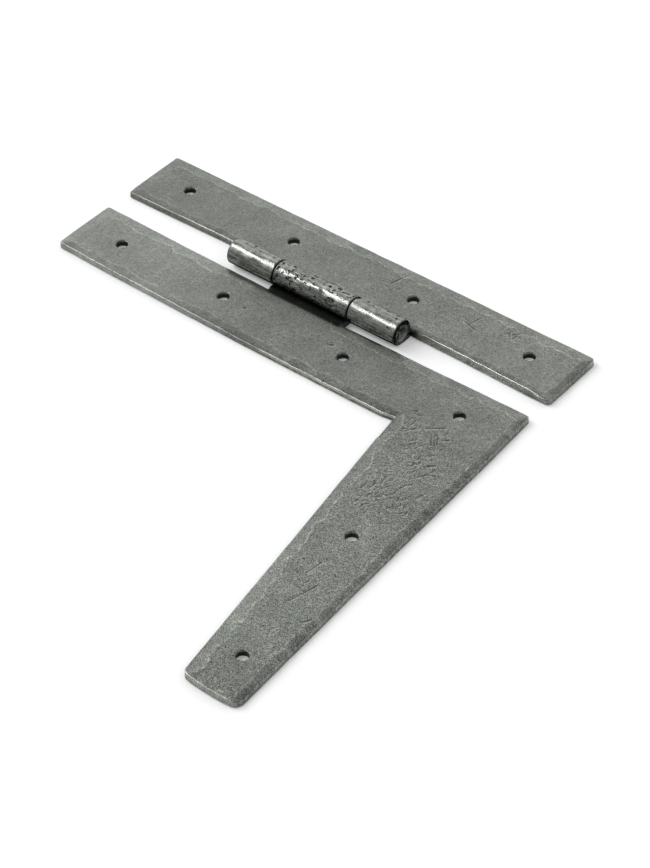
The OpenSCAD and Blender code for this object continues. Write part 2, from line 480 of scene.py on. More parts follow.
def blow_at(tree, blows, x, y, gap):
    """The deepest blow at a point: its depth there, that depth's share of its full depth, and its tone."""
    best = (-0.3, -1.0, 0.0)
    for _, number, _ in tree.find_range((x, y, 0.0), 13.0):
        place, inward, depth, width, curve, tone = blows[number]
        dx = x - place.x
        dy = y - place.y
        away = dx * inward.x + dy * inward.y
        side = dy * inward.x - dx * inward.y
        share = 1 - max(away, gap) / width - curve * side * side
        if share * depth > best[0]:
            best = (share * depth, share, tone)
    return best


def vertex_layers(bm):
    """The mesh's own layers by name."""
    return {name: bm.verts.layers.float[name] for name in HELPER_LAYERS + COLOR_LAYERS}


def measure_gaps(bm, holes, rolled):
    """Stores each vertex's distance from the outline and the holes, and which way the nearest edge faces."""
    for name in HELPER_LAYERS + COLOR_LAYERS:
        bm.verts.layers.float.new(name)
    layers = vertex_layers(bm)
    rim = []
    for e in bm.edges:
        if len(e.link_faces) != 1:
            continue
        middle = (e.verts[0].co + e.verts[1].co) / 2
        if any(math.dist(middle.xy, hole) < HOLE_SQUARE for hole in holes):
            continue
        if any(low < middle.x < high and abs(middle.y) < 10 for low, high in rolled):
            continue
        rim.append(e)
    corners = ring_verts(rim)
    tree = kdtree.KDTree(len(corners))
    for number, v in enumerate(corners):
        tree.insert(v.co, number)
    tree.balance()
    rims = set(rim)
    for v in bm.verts:
        corner = corners[tree.find(v.co)[1]]
        gap = (v.co - corner.co).length
        out = Vector()
        for e in corner.link_edges:
            if e in rims:
                out -= inward_of(e)
                start = e.verts[0].co
                span = e.verts[1].co - start
                part = max(0.0, min(1.0, (v.co - start).dot(span) / span.length_squared))
                gap = min(gap, (v.co - start - span * part).length)
        out.normalize()
        v[layers["edge_gap"]] = gap
        v[layers["out_x"]] = out.x
        v[layers["out_y"]] = out.y
        v[layers["hole_gap"]] = min(math.dist(v.co.xy, hole) for hole in holes) - HOLE_RINGS[-1]
    return lay_blows(rim)


def give_thickness(bm, sheet):
    """Turns the flat grid into a closed sheet from z 0 up to sheet, with rows down its walls."""
    top = bm.verts[:]
    under = bmesh.ops.duplicate(bm, geom=bm.verts[:] + bm.edges[:] + bm.faces[:])
    under_faces = [g for g in under["geom"] if isinstance(g, bmesh.types.BMFace)]
    bmesh.ops.reverse_faces(bm, faces=under_faces)
    for v in top:
        v.co.z = sheet
    ring = [e for e in bm.edges if len(e.link_faces) == 1 and e.verts[0].co.z > sheet / 2]
    seat = [e for e in bm.edges if len(e.link_faces) == 1 and e.verts[0].co.z < sheet / 2]
    for level in WALL_LEVELS + (0.0,):
        made = bmesh.ops.extrude_edge_only(bm, edges=ring)
        ring = new_ring(made)
        for v in ring_verts(ring):
            v.co.z = sheet * level
    bmesh.ops.remove_doubles(bm, verts=ring_verts(ring) + ring_verts(seat), dist=MERGE_DISTANCE)


def roll_knuckle(bm, span, side):
    """Carries the sheet's near edge on as a strap and rolls it round the pin. Side is -1 or 1 in Y."""
    low, high = span
    near = [
        f
        for f in bm.faces
        if low < f.calc_center_median().x < high
        and abs(f.normal.z) < 0.5
        and abs(f.normal.y) > 0.5
        and abs(f.calc_center_median().y) < 10
    ]
    edges = {e for f in near for e in f.edges}
    inner = {e for e in edges if sum(f in near for f in e.link_faces) == 2}
    bmesh.ops.delete(bm, geom=near, context="FACES")
    ring = [e for e in edges - inner if e.is_valid]
    knuckle = bm.verts.layers.float["knuckle"]
    for n in range(STRAP_ROWS):
        made = bmesh.ops.extrude_edge_only(bm, edges=ring)
        ring = new_ring(made)
        for v in ring_verts(ring):
            v.co.y *= (STRAP_ROWS - n - 1) / (STRAP_ROWS - n)
            v[knuckle] = 0.5 * (n + 1) / STRAP_ROWS
    for v in ring_verts(ring):
        v[knuckle] = 1.0
    turned = bmesh.ops.spin(
        bm,
        geom=ring + ring_verts(ring),
        cent=(0, 0, PIN_Z),
        axis=(1, 0, 0),
        angle=math.radians(ROLL_SWEEP) * side,
        steps=ROLL_STEPS,
        use_merge=False,
    )
    ring = [g for g in turned["geom_last"] if isinstance(g, bmesh.types.BMEdge)]
    start = math.radians(-90 + ROLL_SWEEP * side)
    drop = PIN_Z - SEAM_Z
    for n in range(1, CLOSING_ROWS + 1):
        made = bmesh.ops.extrude_edge_only(bm, edges=ring)
        ring = new_ring(made)
        for v in ring_verts(ring):
            radius = math.hypot(v.co.y, v.co.z - PIN_Z)
            dip = math.asin(min(1.0, drop / radius))
            end = math.radians(-90) + side * (math.radians(360) - (math.radians(90) - dip))
            angle = start + (end - start) * n / CLOSING_ROWS
            v.co.y = radius * math.cos(angle)
            v.co.z = PIN_Z + radius * math.sin(angle)
    bmesh.ops.edgeloop_fill(bm, edges=ring)


def soften_knuckle_rims(bm, span):
    """Bevels the round outer rims of a knuckle."""
    rims = []
    for e in bm.edges:
        ends = [v.co for v in e.verts]
        for x in span:
            if all(abs(p.x - x) < 0.001 for p in ends) and all(
                abs(math.hypot(p.y, p.z - PIN_Z) - KNUCKLE_R) < 0.01 for p in ends
            ):
                rims.append(e)
    bmesh.ops.bevel(
        bm, geom=rims, offset=KNUCKLE_BEVEL, affect="EDGES", segments=3, profile=0.5, material=-1
    )


def refine(bm, sheet, boxes):
    """Splits the top faces inside the boxes where strokes lie."""
    chosen = set()
    for f in bm.faces:
        middle = f.calc_center_median()
        if middle.z < sheet - 0.001 or len(f.verts) != 4:
            continue
        if any(x0 < middle.x < x1 and y0 < middle.y < y1 for x0, y0, x1, y1 in boxes):
            chosen.update(f.edges)
    bmesh.ops.subdivide_edges(bm, edges=list(chosen), cuts=2, use_grid_fill=True)


def groove_at(x, y, strokes):
    """How far the strokes dig in at a point, and how strong the painted highlight on their near side is."""
    depth = 0.0
    lip_highlight = 0.0
    for (x0, y0), (x1, y1), half, deep in strokes:
        if not (min(x0, x1) - 1.5 < x < max(x0, x1) + 1.5 and min(y0, y1) - 1.5 < y < max(y0, y1) + 1.5):
            continue
        dx = x1 - x0
        dy = y1 - y0
        part = ((x - x0) * dx + (y - y0) * dy) / (dx * dx + dy * dy)
        held = max(0.0, min(1.0, part))
        aside_x = x - x0 - dx * held
        aside_y = y - y0 - dy * held
        off = math.hypot(aside_x, aside_y)
        depth = max(depth, deep * math.exp(-((off / half) ** 2)) * (0.55 + 0.45 * held))
        if aside_x * NEAR_SIDE[0] + aside_y * NEAR_SIDE[1] > 0.3 * off:
            lip_highlight = max(lip_highlight, deep / DEEPEST * math.exp(-(((off - 1.7 * half) / (0.7 * half)) ** 2)))
    return depth, lip_highlight


def heaped_strokes(heaps):
    """Short blunt strokes, most of them across the leaf, heaped about the given centres."""
    dice = random.Random(11)
    strokes = []
    for (x0, y0), (spread_x, spread_y), count in heaps:
        for _ in range(count):
            x = dice.gauss(x0, spread_x)
            y = dice.gauss(y0, spread_y)
            lean = math.radians(dice.gauss(72, 24))
            length = dice.uniform(0.6, 3.0)
            half = dice.uniform(0.20, 0.36)
            deep = dice.uniform(0.05, 0.16)
            strokes.append(((x, y), (x + length * math.cos(lean), y + length * math.sin(lean)), half, deep))
    return strokes


def root_shade(x, y):
    """Painted shade beside the knuckles that grow from the leaf, for their shadow and dark reflection on the
    steel.
    """
    if y < 0:
        low, high = L_KNUCKLES[0]
        middle = smooth(low - 1.5, low + 1.5, x) * (1 - smooth(high - 1.5, high + 1.5, x))
        left = smooth(-45, -42, x) * (1 - smooth(low, low + 1, x)) * (1 - smooth(10.2, 11.6, -y))
        right = smooth(high - 1, high, x) * (1 - smooth(37, 42, x)) * (1 - smooth(8.8, 9.8, -y))
        return max(middle * (1 - smooth(9.6, 11.4, -y)), 0.7 * left, 0.75 * right)
    low, high = H_KNUCKLES[0][0], H_KNUCKLES[1][1]
    side = smooth(low - 2, low + 1, x) * (1 - smooth(high + 2, high + 4.5, x))
    return side * (1 - smooth(7.2, 9.2, y))


def broad_tone(x, y):
    """A broad tone: pale at the left of the L leaf and down its arm, darker about the knuckles."""
    end = 0.05 * (1 - smooth(-105, -85, x))
    if y > 0:
        return 0.88 + 0.13 * smooth(20, 90, x) - end
    strip = 1.06 - 0.18 * smooth(-70, 0, x) + 0.07 * smooth(65, 100, x) - end
    arm = 0.95 + 0.12 * smooth(50, 140, -y) - 0.17 * smooth(160, 185, -y)
    return strip + (arm - strip) * smooth(36, 56, -y) * smooth(64, 74, x)


def coarseness(x, y):
    """How strong the grain is: fine at the left ends, coarse down the arm."""
    return 0.42 + 0.34 * smooth(-110, 70, x) + 0.44 * smooth(32, 52, -y) * smooth(60, 75, x)


def wall_lean(out_x, out_y, x, y):
    """How far, as a vector, the top edge of a wall stands back from its foot."""
    back = -0.4 * smooth(0.4, 0.9, out_x)
    front = smooth(0.4, 0.9, -out_y)
    if y < 0:
        return back, 0.3 * front
    right = 1.25 * smooth(43, 49, x) * (1 - smooth(101, 110, x))
    return back, front * (right + 0.6 * smooth(49, 58, -x))


def worn_line(x, y):
    """How bright the near edges are along their length, as rubbed steel carrying a painted highlight."""
    if y > 0:
        right = smooth(45, 60, x) * (1 - smooth(103, 110, x))
        left = 0.6 * math.exp(-(((x + 62) / 12) ** 2)) + 0.25 * (1 - smooth(-60, -40, x))
        level = max(right, left)
    elif y > -150:
        level = 0.2 + 0.6 * smooth(-20, 25, x)
    else:
        level = 0.4
    return max(0.0, min(1.0, level + 0.5 * wave(x, y, 13, 31.0) + 0.25 * wave(x, y, 5, 33.0)))


def dent_knuckle(v, layers, ring):
    """Dents a vertex of a rolled knuckle inwards and marks its painted shade: the strap under the roll, the
    rims at its ends and the chip.
    """
    x, y, z = v.co
    radius = math.hypot(y, z - PIN_Z)
    held = v[layers["knuckle"]]
    outer = smooth(BORE_R + 0.2, KNUCKLE_R - 0.3, radius) * smooth(0.3, 1.0, held)
    angle = math.atan2(z - PIN_Z, y)
    turn = noise.noise(Vector((x / 7, 2.2 * math.cos(angle), 2.2 * math.sin(angle))))
    fine = noise.noise(Vector((x / 1.6, 6 * math.cos(angle), 6 * math.sin(angle) + 9)))
    low, high = L_KNUCKLES[0]
    middle = low < x < high
    waist = 0.20 * math.sin(math.pi * (x - low) / (high - low)) if middle else 0.0
    rough = 0.85 if middle else 0.35
    lean = math.degrees(angle) - CHIP_ANGLE
    chip = math.exp(-(((x - CHIP_X) / 0.8) ** 2) - (lean / 16) ** 2) * outer
    inward = outer * (waist + ring * (0.8 + 0.9 * turn + rough * fine)) + 0.5 * chip
    scale = 1 - max(0.0, inward) / radius
    v.co.y = y * scale
    v.co.z = PIN_Z + (z - PIN_Z) * scale
    end = min(abs(x - stop) for span in H_KNUCKLES + L_KNUCKLES for stop in span)
    v[layers["shade"]] = max(1.0 - smooth(0.5, 1.0, held), 0.9 * (1 - smooth(0.15, 0.7, end)), chip)
    v[layers["tone"]] = 1.0


def forge(bm, sizes, blows, strokes):
    """Hammers the true shape: wandering edges, bevels, worn rims, dents and strokes."""
    layers = vertex_layers(bm)
    tree = kdtree.KDTree(len(blows))
    for number, blow in enumerate(blows):
        tree.insert(blow[0], number)
    tree.balance()
    sheet = mm(sizes.sheet)
    round_off = mm(sizes.edge_round)
    wander = mm(sizes.edge_wander)
    dent = mm(sizes.dent_depth)
    for v in bm.verts:
        if v[layers["knuckle"]] > 0:
            dent_knuckle(v, layers, mm(sizes.knuckle_dent))
            continue
        x, y, z = v.co
        gap = v[layers["edge_gap"]]
        rim = v[layers["hole_gap"]]
        out_x = v[layers["out_x"]]
        out_y = v[layers["out_y"]]
        level = z / sheet
        top_side = smooth(0.8, 0.97, level)
        front = smooth(0.55, 0.85, -out_y)
        # Painted highlight over rubbed steel: the near edges and the hole rims are made bright in colour.
        rubbed_glint = (1 - smooth(0.25, 0.7, gap)) * front * worn_line(x, y)
        v[layers["worn"]] = top_side * max(rubbed_glint, 0.4 * (1 - smooth(0.02, 0.2, abs(rim))))
        lower = 1 - smooth(0.80, 0.95, level)
        wall = lower * (1 - smooth(0.05, 0.3, gap))
        beneath = level < 0.01 and gap > 0.2
        # Painted shade: dark rings on the hole chamfers, dark hole walls, right-facing walls, the walls by
        # the notch and the steel beside the knuckles.
        ring = 0.55 * (1 - smooth(0.25, 0.6, rim))
        hole_wall = lower * (1 - smooth(0.02, 0.06, abs(rim)))
        notch = 0.7 * wall * smooth(60, 68, x) * front if -42 < y < 0 else 0.0
        right_wall = 0.25 * wall * smooth(0.5, 0.8, out_x)
        root = root_shade(x, y) * (0.35 + 0.65 * smooth(0.0, 0.1, level))
        v[layers["shade"]] = max(root, hole_wall, ring, right_wall, notch)
        value, share, tone = blow_at(tree, blows, x, y, gap)
        faint = 1 + 6 * smooth(0.5, 0.9, -out_x) * (1 - smooth(-108, -100, x))
        v[layers["band"]] = 1.0 if beneath else share * faint
        drop = sizes.bevel * max(0.0, value)
        # Painted shade on the hammered bevels, deepest where they drop most.
        v[layers["bevel_shade"]] = 0.0 if beneath else drop
        # Painted light: bevels facing away and to the left are lightened, on top of each blow's own tone.
        far_facet_light = smooth(0.5, 0.9, out_y) * (0.03 + 0.11 * (1 - smooth(20, 60, x)))
        left_facet_light = 0.10 * smooth(0.5, 0.9, -out_x)
        facet_tone_and_light = 0.0 if beneath else (0.08 * tone + max(far_facet_light, left_facet_light)) * smooth(0.0, 0.12, share)
        # Painted shade on the near walls of the straight leaf.
        painted_wall_shade = 0.14 * wall * front * smooth(0, 60, x) if y > 0 else 0.0
        v[layers["tone"]] = broad_tone(x, y) * (1 + facet_tone_and_light - painted_wall_shade)
        v[layers["coarse"]] = coarseness(x, y)
        blunt = round_off * (1 + 0.6 * front)
        if gap < blunt:
            lean = 1 - gap / blunt
            drop += blunt * (1 - math.sqrt(max(0.0, 1 - lean * lean)))
        if 0 <= rim < HOLE_ROUND:
            lean = 1 - rim / HOLE_ROUND
            drop += HOLE_ROUND * 0.9 * (1 - math.sqrt(max(0.0, 1 - lean * lean)))
        drop += dent * (1 + wave(x, y, 17, 0.4)) + 0.4 * dent * (1 + wave(x, y, 5, 2.4))
        drop += 0.25 * dent * (1 + wave(x, y, 1.8, 4.9))
        if level > 0.99 and gap > 1:
            # The strokes' depth, which the material also turns dark: blackened patina in the grooves together
            # with their painted shade.
            dug, lip_highlight = groove_at(x, y, strokes)
            v[layers["dug"]] = dug / DEEPEST
            v[layers["lip_highlight"]] = lip_highlight
            drop += dug
        raise_under = 0.3 * dent * (1 + wave(x, y, 11, 8.8))
        if gap < round_off:
            raise_under += round_off * (1 - math.sqrt(max(0.0, gap * (2 * round_off - gap))) / round_off)
        low = min(raise_under, sheet / 3)
        v.co.z = low + level * (sheet - drop - low)
        fade = 1 - smooth(0.5, 7.0, gap)
        if fade > 0:
            lean_x, lean_y = wall_lean(out_x, out_y, x, y)
            shift = level * (1 - smooth(0.0, 5.5, gap))
            astray_x = 0.75 * wave(x, y, 26, 1.3) + 0.45 * wave(x, y, 6, 6.1)
            astray_y = 0.75 * wave(x, y, 26, 11.9) + 0.45 * wave(x, y, 6, 16.4)
            v.co.x += lean_x * shift + fade * wander * astray_x
            v.co.y += lean_y * shift + fade * wander * astray_y
        if 0 <= rim < 1.5:
            near = 1 - smooth(0.0, 1.5, rim)
            v.co.x += near * 0.07 * wave(x, y, 2.2, 21.0)
            v.co.y += near * 0.07 * wave(x, y, 2.2, 23.0)
    for name in HELPER_LAYERS:
        bm.verts.layers.float.remove(bm.verts.layers.float[name])


def finish_mesh(bm, name, materials, body, nodes):
    """Writes the mesh in metres as a piece that rides on its body and stands for its nodes."""
    bmesh.ops.recalc_face_normals(bm, faces=bm.faces[:])
    bmesh.ops.scale(bm, vec=(MM, MM, MM), verts=bm.verts[:])
    for f in bm.faces:
        f.smooth = True
    mesh = bpy.data.meshes.new(name)
    bm.to_mesh(mesh)
    bm.free()
    mesh.set_sharp_from_angle(angle=SHARP_ANGLE)
    for material in materials:
        mesh.materials.append(material)
    piece = bpy.data.objects.new(name, mesh)
    bpy.context.scene.collection.objects.link(piece)
    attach(piece, body)
    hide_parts(*nodes)
    return piece


def mark_knuckle_faces(bm):
    """The rolled part takes the second material, and its ends and bore the third."""
    knuckle = bm.verts.layers.float["knuckle"]
    for f in bm.faces:
        if min(v[knuckle] for v in f.verts) > 0.4:
            hidden = abs(f.normal.x) > 0.9 or all(
                math.hypot(v.co.y, v.co.z - PIN_Z) < BORE_R + 0.5 for v in f.verts
            )
            # The ends and the bore take the black steel, which paints their shade.
            f.material_index = 2 if hidden else 1


def bow_left_end(v, part):
    """Bows a leaf's left end out. Part is the vertex's place across the leaf, from 0 to 1."""
    v.co.x -= END_BOW * 4 * part * (1 - part) * (1 - smooth(0, 30, v.co.x - LEAF_LEFT))


def close_leaf(bm, sizes, holes, knuckles, side, fine, strokes):
    """Carries a leaf on from its flat grid: holes, thickness, rolled knuckles and the hammered shape."""
    for hole in holes:
        open_hole(bm, hole)
    blows = measure_gaps(bm, holes, knuckles)
    give_thickness(bm, mm(sizes.sheet))
    bmesh.ops.recalc_face_normals(bm, faces=bm.faces[:])
    for span in knuckles:
        roll_knuckle(bm, span, side)
    for span in knuckles:
        soften_knuckle_rims(bm, span)
    mark_knuckle_faces(bm)
    refine(bm, mm(sizes.sheet), fine)
    forge(bm, sizes, blows, strokes)


def head_outline(end, inward, head):
    """Profile of one hammered head of the pin, from its middle back to the shank, as (x, radius) pairs."""
    outline = []
    for n in range(HEAD_RINGS + 1):
        part = n / HEAD_RINGS
        outline.append((end + inward * (HEAD_FACE + HEAD_DOME * part**3), head * part))
    outline.append((end + inward * HEAD_RIM, head))
    outline.append((end + inward * HEAD_BACK, head - HEAD_CHAMFER))
    outline.append((end + inward * HEAD_BACK, PIN_R))
    return outline


def beat_head(v, low, high):
    """Dents a vertex of a head, and leaves the head's rim ragged."""
    x, y, z = v.co
    end = high if x > 0 else low
    near = 1 - smooth(0.5, 1.0, abs(x - end))
    beaten = 1 + noise.noise(Vector((y / 1.7, z / 1.7, end)))
    beaten += 0.6 * (1 + noise.noise(Vector((y / 0.7, z / 0.7, end + 5))))
    v.co.x = x - math.copysign(HEAD_BEATEN * beaten * near, x)
    if math.hypot(y, z - PIN_Z) > PIN_R + 0.2:
        ragged = 1 - HEAD_RAGGED * (1 + noise.noise(Vector((y / 2.2, z / 2.2, end + 9)))) * near
        v.co.y = y * ragged
        v.co.z = PIN_Z + (z - PIN_Z) * ragged


# Materials


def add(tree, kind, inputs=None, **settings):
    """Adds a node, with its settings and its unlinked inputs."""
    node = tree.nodes.new(kind)
    for key, value in settings.items():
        setattr(node, key, value)
    for key, value in (inputs or {}).items():
        node.inputs[key].default_value = value
    return node


def math_node(tree, operation, first, second=0.0):
    """A Math node. Each of its two values is a socket or a number."""
    node = add(tree, "ShaderNodeMath", operation=operation)
    for slot, value in zip(node.inputs, (first, second)):
        if isinstance(value, (int, float)):
            slot.default_value = value
        else:
            tree.links.new(value, slot)
    return node.outputs[0]


def times(tree, first, second):
    """The product of two sockets or numbers."""
    return math_node(tree, "MULTIPLY", first, second)


def plus(tree, first, second):
    """The sum of two sockets or numbers."""
    return math_node(tree, "ADD", first, second)


def minus(tree, first, second):
    """The first of two sockets or numbers less the second."""
    return math_node(tree, "SUBTRACT", first, second)


def axes(tree, source):
    """The X, Y and Z of a vector socket."""
    split = add(tree, "ShaderNodeSeparateXYZ")
    tree.links.new(source, split.inputs[0])
    return split.outputs


def attribute(tree, name):
    """A value stored on the mesh."""
    return add(tree, "ShaderNodeAttribute", attribute_name=name).outputs["Fac"]


def map_range(tree, value, low, high, start=0.0, end=1.0):
    """A value between low and high, spread between start and end."""
    ends = {"From Min": low, "From Max": high, "To Min": start, "To Max": end}
    node = add(tree, "ShaderNodeMapRange", ends)
    tree.links.new(value, node.inputs["Value"])
    return node.outputs["Result"]


def blend_color(tree, factor, first, second, mode="MIX"):
    """Mixes two colours, each a socket or a plain colour."""
    node = add(tree, "ShaderNodeMix", data_type="RGBA", blend_type=mode)
    sockets = (node.inputs[0], node.inputs[6], node.inputs[7])
    for slot, value in zip(sockets, (factor, first, second)):
        if isinstance(value, bpy.types.NodeSocket):
            tree.links.new(value, slot)
        elif isinstance(value, (int, float)):
            slot.default_value = value
        else:
            slot.default_value = (*value, 1.0)
    return node.outputs[2]


def grey(tree, value):
    """A grey as bright as a socket's value."""
    made = add(tree, "ShaderNodeCombineColor")
    for slot in made.inputs:
        tree.links.new(value, slot)
    return made.outputs[0]


def scale_color(tree, color, factor):
    """A colour made brighter or darker by a factor."""
    return blend_color(tree, 1.0, color, grey(tree, factor), "MULTIPLY")


def grain(tree, source, size, stretch=(1, 1, 1), turn=(0, 0, 0), detail=3.0, rough=0.6, seed=0.0):
    """Noise whose bumps are about size millimetres across, stretched along its own axes."""
    scale = tuple(1 / (MM * size * s) for s in stretch)
    place = (seed, seed * 2, seed * 3)
    mapping = add(tree, "ShaderNodeMapping", {"Scale": scale, "Rotation": turn, "Location": place})
    tree.links.new(source, mapping.inputs["Vector"])
    made = add(tree, "ShaderNodeTexNoise", {"Scale": 1.0, "Detail": detail, "Roughness": rough})
    tree.links.new(mapping.outputs[0], made.inputs["Vector"])
    return made.outputs["Fac"]


def start_steel(name):
    """A bare metal material, its node tree, its shader and its Object coordinates."""
    material = bpy.data.materials.new(name)
    material.use_nodes = True
    tree = material.node_tree
    tree.nodes.clear()
    out = add(tree, "ShaderNodeOutputMaterial")
    shader = add(tree, "ShaderNodeBsdfPrincipled", {"Metallic": 1.0})
    tree.links.new(shader.outputs[0], out.inputs["Surface"])
    coords = add(tree, "ShaderNodeTexCoord")
    return material, tree, shader, coords.outputs["Object"]


def add_bump(tree, shader, heights, strength=None):
    """Adds up (height, depth in millimetres) pairs as one bump, whose strength may be a socket."""
    total = None
    for height, depth in heights:
        part = times(tree, height, depth)
        total = part if total is None else plus(tree, total, part)
    bump = add(tree, "ShaderNodeBump", {"Strength": 1.0, "Distance": MM})
    tree.links.new(total, bump.inputs["Height"])
    if isinstance(strength, bpy.types.NodeSocket):
        tree.links.new(strength, bump.inputs["Strength"])
    tree.links.new(bump.outputs[0], shader.inputs["Normal"])


def patina_material(finish):
    """Dull hand-waxed steel: cloudy, speckled, pitted, bright where edges are worn, with painted highlights
    on the near edges, bevel borders and strokes, and painted shade on the bevels, in the holes and beside the
    knuckles.
    """
    material, tree, shader, spot = start_steel("patina_steel")
    clouds = grain(tree, spot, 16, detail=4, rough=0.55)
    mottle = grain(tree, spot, 3.2, detail=3, rough=0.6, seed=4.0)
    speckle = grain(tree, spot, 0.46, detail=2, rough=0.8, seed=9.0)
    patch = grain(tree, spot, 1.5, detail=2, rough=0.5, seed=12.0)
    pits = grain(tree, spot, 1.3, detail=4, rough=0.72, seed=2.0)
    cloudy = map_range(tree, clouds, 0.36, 0.64, 0.0, 0.55)
    tone = plus(tree, cloudy, map_range(tree, mottle, 0.3, 0.7, 0.0, 0.45))
    color = blend_color(tree, tone, finish.patina_dark, finish.patina_light)
    color = scale_color(tree, color, attribute(tree, "tone"))
    coarse = times(tree, attribute(tree, "coarse"), map_range(tree, mottle, 0.36, 0.64, 0.72, 1.18))
    fleck = times(tree, minus(tree, speckle, 0.5), coarse)
    color = scale_color(tree, color, plus(tree, times(tree, fleck, 4.2), 1.0))
    color = scale_color(tree, color, map_range(tree, patch, 0.3, 0.7, 0.86, 1.14))
    band = attribute(tree, "band")
    # Painted highlight along the inner border of each hammered bevel.
    border = map_range(tree, math_node(tree, "ABSOLUTE", band), 0.01, 0.12, 1.0, 0.0)
    border = times(tree, border, map_range(tree, mottle, 0.32, 0.55, 0.4, 1.0))
    color = scale_color(tree, color, plus(tree, times(tree, border, 0.50), 1.0))
    # Painted shade on the hammered bevels, broken into patches by the pit noise.
    bevel_shade = times(tree, attribute(tree, "bevel_shade"), map_range(tree, pits, 0.38, 0.58, 0.25, 1.0))
    color = scale_color(tree, color, map_range(tree, bevel_shade, 0.05, 0.5, 1.0, 0.72))
    color = scale_color(tree, color, map_range(tree, bevel_shade, 0.5, 0.85, 1.0, 0.66))
    pitted = map_range(tree, pits, 0.60, 0.68)
    color = blend_color(tree, times(tree, pitted, 0.6), color, finish.pit_and_shade)
    # Painted highlight on the near side of each stroke.
    color = scale_color(tree, color, map_range(tree, attribute(tree, "lip_highlight"), 0.0, 1.0, 1.0, 1.55))
    # Strokes darkened: blackened patina in the grooves together with their painted shade.
    dug = map_range(tree, attribute(tree, "dug"), 0.08, 0.75, 0.0, 0.9)
    color = blend_color(tree, dug, color, finish.pit_and_shade)
    # Painted shade, blended toward the pit colour and darkened further in the holes.
    shade = attribute(tree, "shade")
    color = blend_color(tree, times(tree, shade, 0.92), color, finish.pit_and_shade)
    color = scale_color(tree, color, map_range(tree, shade, 0.6, 1.0, 1.0, 0.3))
    # Painted highlight on the near edges and hole rims, over rubbed steel.
    worn = attribute(tree, "worn")
    color = blend_color(tree, times(tree, worn, 0.6), color, finish.burnish_glint)
    tree.links.new(color, shader.inputs["Base Color"])
    rough = map_range(tree, speckle, 0.3, 0.7, finish.roughness - 0.07, finish.roughness + 0.09)
    rough = minus(tree, rough, times(tree, worn, 0.05))
    tree.links.new(rough, shader.inputs["Roughness"])
    flat = minus(tree, 1.0, times(tree, worn, 0.9))
    add_bump(tree, shader, ((speckle, 0.10), (mottle, 0.16), (pitted, -0.08)), flat)
    return material


def knuckle_material(finish):
    """Steel polished by turning: streaked along the pin, with dark pits left in it, and painted light and
    shade: a highlight at the crown, a lighter front, a darker back and underside.
    """
    material, tree, shader, spot = start_steel("knuckle_steel")
    streaks = grain(tree, spot, 1.0, stretch=(9, 0.8, 0.8), detail=3, rough=0.6)
    blotch = grain(tree, spot, 2.4, detail=4, rough=0.65, seed=3.0)
    speckle = grain(tree, spot, 1.3, stretch=(1.5, 1, 1), detail=3, rough=0.6, seed=6.0)
    streaky = map_range(tree, streaks, 0.34, 0.66, 0.0, 0.65)
    tone = plus(tree, streaky, map_range(tree, blotch, 0.38, 0.62, 0.0, 0.35))
    color = blend_color(tree, tone, finish.knuckle_dark, finish.knuckle_light)
    length, across, height = axes(tree, spot)
    up = map_range(tree, height, 0.0, 2 * PIN_Z * MM, -1.0, 1.0)
    low, high = L_KNUCKLES[0]
    middle = times(
        tree,
        map_range(tree, length, (low - 0.4) * MM, low * MM),
        map_range(tree, length, high * MM, (high + 0.4) * MM, 1.0, 0.0),
    )
    behind = map_range(tree, across, -0.001, 0.002)
    dense = map_range(tree, middle, 0.0, 1.0, 0.0, 0.9)
    dense = math_node(tree, "MAXIMUM", dense, times(tree, behind, 0.6))
    limit = map_range(tree, dense, 0.0, 1.0, 0.64, 0.53)
    pitted = map_range(tree, minus(tree, speckle, limit), 0.0, 0.05)
    color = blend_color(tree, times(tree, pitted, 0.95), color, KNUCKLE_PIT)
    # Painted highlight along the crown, painted light low on the sides and painted shade underneath.
    lit = plus(tree, times(tree, across, -0.5 / (KNUCKLE_R * MM)), times(tree, up, 0.866))
    crown = map_range(tree, lit, 0.80, 0.97, 1.06, 1.6)
    crown = times(tree, crown, map_range(tree, up, 0.05, 0.30, 1.35, 0.66))
    sunk = minus(tree, up, times(tree, middle, 0.14))
    crown = times(tree, crown, map_range(tree, sunk, -0.48, -0.15, 0.12, 1.0))
    # Painted light: the front is lightened and the back darkened.
    back = times(
        tree,
        map_range(tree, across, -0.0019, -0.0010, 1.0, 1.85),
        map_range(tree, across, -0.0006, 0.0010, 1.0, 0.50),
    )
    color = scale_color(tree, color, times(tree, crown, back))
    # Painted shade on the strap under the roll, the rims at the ends and the chip.
    shade = attribute(tree, "shade")
    color = blend_color(tree, times(tree, shade, 0.9), color, finish.pit_and_shade)
    tree.links.new(color, shader.inputs["Base Color"])
    # Painted shade in the reflections of the underside and the shaded places, and duller reflections in the
    # pits.
    tint_shade_and_pits = map_range(tree, up, -0.30, 0.25, 0.02, 1.0)
    tint_shade_and_pits = times(tree, tint_shade_and_pits, map_range(tree, pitted, 0.0, 1.0, 1.0, 0.2))
    tint_shade_and_pits = times(tree, tint_shade_and_pits, map_range(tree, shade, 0.0, 1.0, 1.0, 0.2))
    tree.links.new(scale_color(tree, (1.0, 1.0, 1.0), tint_shade_and_pits), shader.inputs["Specular Tint"])
    gloss = finish.knuckle_roughness
    rough = map_range(tree, blotch, 0.3, 0.7, gloss - 0.06, gloss + 0.12)
    tree.links.new(plus(tree, rough, times(tree, pitted, 0.25)), shader.inputs["Roughness"])
    strength = map_range(tree, middle, 0.0, 1.0, 0.55, 1.0)
    add_bump(tree, shader, ((streaks, 0.05), (blotch, 0.10), (speckle, 0.05)), strength)
    return material


